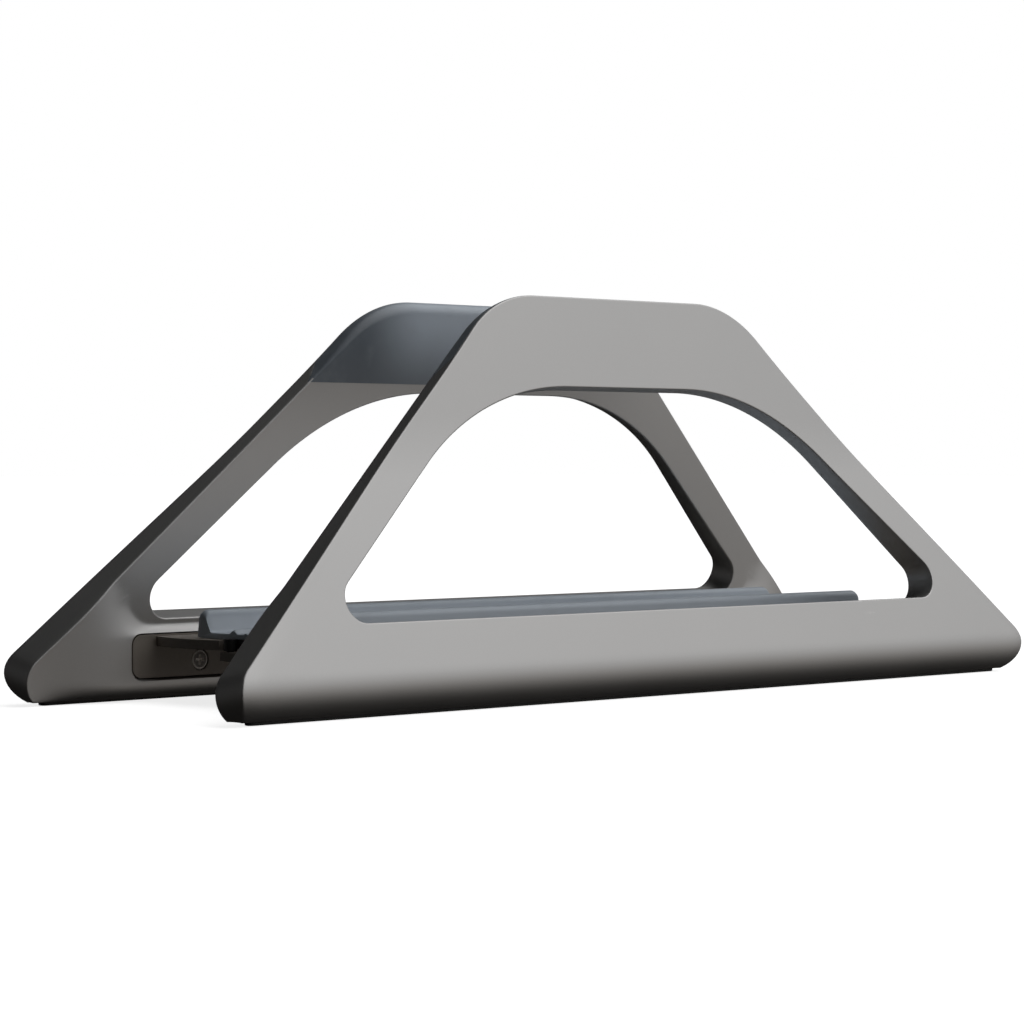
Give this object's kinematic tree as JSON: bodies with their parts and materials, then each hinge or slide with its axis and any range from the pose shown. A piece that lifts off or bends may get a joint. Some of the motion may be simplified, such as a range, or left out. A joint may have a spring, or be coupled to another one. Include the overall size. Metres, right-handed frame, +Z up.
{
  "type": "vertical laptop stand",
  "caption": "Vertical laptop stand: two leaning windowed side frames with soft grip pads close on the laptop as its weight presses the central cradle.",
  "frame": {"origin": "floor level under the middle of the hinge spine, at the centre of the footprint", "axes": "+X along the laptop slot, which is the long way of the stand; the front frame is at -Y and the rear frame at +Y; +Z up"},
  "size_m": [0.2206, 0.0734, 0.0791],
  "materials": {
    "frame_metal": "satin bead-blasted, grey anodised",
    "silicone": "matt moulded silicone, blue-grey",
    "foot_rubber": "matt black elastomer",
    "arm_plastic": "fine-textured black glass-filled nylon",
    "screw_steel": "black-oxide steel, satin",
    "spring_steel": "drawn steel",
    "carrier_steel": "black powder-coated steel"
  },
  "bodies": {
    "spine": {"hinge_spine": "arm_plastic", "front_hinge_rod": "spring_steel", "rear_hinge_rod": "spring_steel", "front_torsion_spring_1": "spring_steel", "front_torsion_spring_2": "spring_steel", "rear_torsion_spring_1": "spring_steel", "rear_torsion_spring_2": "spring_steel", "front_stop_bumper_1": "foot_rubber", "front_stop_bumper_2": "foot_rubber", "rear_stop_bumper_1": "foot_rubber", "rear_stop_bumper_2": "foot_rubber"},
    "cradle": {"cradle_pad": "silicone", "cradle_carrier": "carrier_steel", "guide_screw_1": "screw_steel", "guide_screw_2": "screw_steel"},
    "front_side": {"front_frame": "frame_metal", "front_grip_pad": "silicone", "front_foot_strip": "foot_rubber", "front_swing_arm": "arm_plastic", "front_arm_screw_1": "screw_steel", "front_arm_screw_2": "screw_steel", "front_arm_screw_3": "screw_steel", "front_arm_screw_4": "screw_steel"},
    "rear_side": {"rear_frame": "frame_metal", "rear_grip_pad": "silicone", "rear_foot_strip": "foot_rubber", "rear_swing_arm": "arm_plastic", "rear_arm_screw_1": "screw_steel", "rear_arm_screw_2": "screw_steel", "rear_arm_screw_3": "screw_steel", "rear_arm_screw_4": "screw_steel"}
  },
  "joints": [
    {"name": "front_arm_hinge", "type": "hinge", "parent": "spine", "child": "front_side", "pos_m": [0, -0.0037, 0.0103], "axis": [-1, 0, 0], "range_deg": [0, 8], "stiffness_Nm_per_rad": 0.08, "springref_deg": -28.65},
    {"name": "rear_arm_hinge", "type": "hinge", "parent": "spine", "child": "rear_side", "pos_m": [0, 0.0037, 0.0103], "axis": [1, 0, 0], "range_deg": [0, 8], "stiffness_Nm_per_rad": 0.08, "springref_deg": -28.65},
    {"name": "cradle_rise", "type": "slide", "parent": "spine", "child": "cradle", "axis": [0, 0, 1], "range_m": [0, 0.0016]}
  ],
  "couplings": [
    {"joint": "rear_arm_hinge", "follows": "front_arm_hinge", "ratio": 1},
    {"joint": "cradle_rise", "follows": "front_arm_hinge", "m_per_rad": 0.0111}
  ]
}
